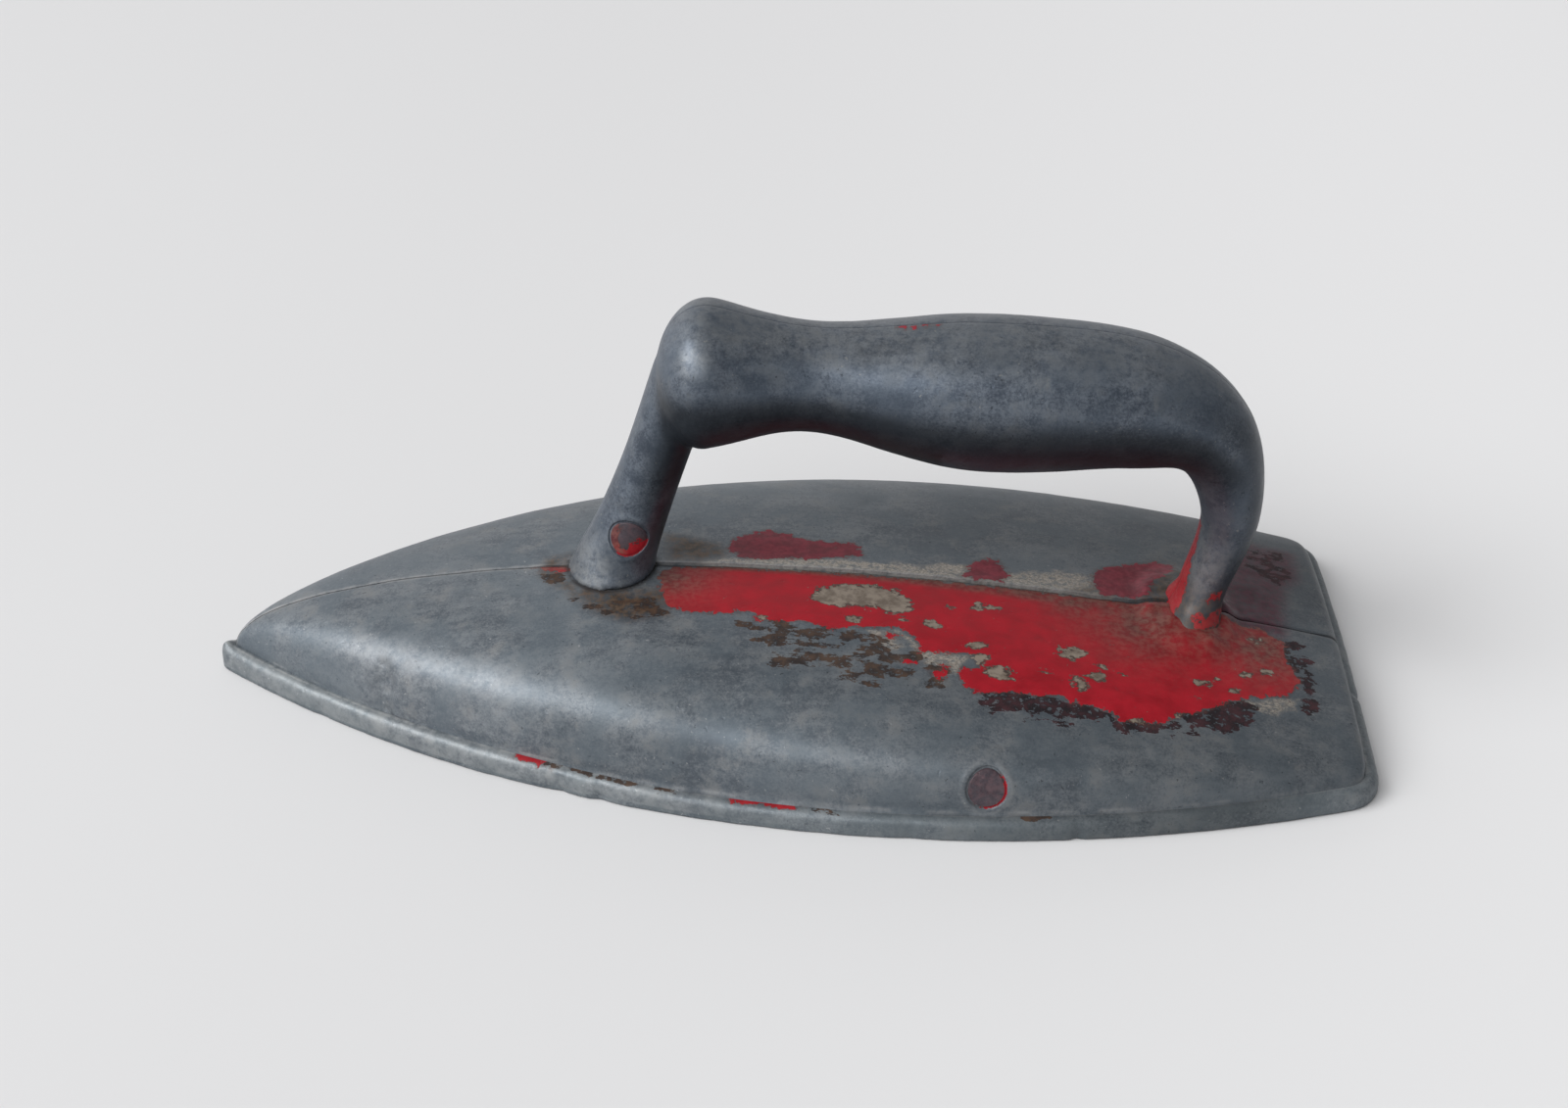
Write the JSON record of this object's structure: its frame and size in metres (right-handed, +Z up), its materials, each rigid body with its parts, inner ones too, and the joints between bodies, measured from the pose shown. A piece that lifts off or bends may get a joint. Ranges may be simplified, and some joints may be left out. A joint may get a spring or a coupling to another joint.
{
  "type": "toy iron",
  "caption": "Cast-metal toy iron with a boat-shaped split body, flanged flat sole and fixed shaped handle, worn red paint over grey metal; stands on its sole for pretend play.",
  "frame": {"origin": "middle of the sole's underside, at half the length and on the centre seam", "axes": "+Z up from the sole, +X from the nose towards the heel, +Y towards the right-hand side as the handle is held with the nose ahead"},
  "size_m": [0.115, 0.058, 0.0414],
  "materials": {
    "sole_casting": "dull worn casting with paint left in the joint",
    "body_casting": "bluish-grey satin casting with worn red paint",
    "handle_casting": "dark satin casting polished by handling",
    "rivet_metal": "dull flat heads in paint-filled recesses"
  },
  "bodies": {
    "root": {"sole_plate": "sole_casting", "left_body_half": "body_casting", "right_body_half": "body_casting", "left_handle_half": "handle_casting", "right_handle_half": "handle_casting", "post_rivet": "rivet_metal", "body_rivet": "rivet_metal"}
  },
  "joints": []
}
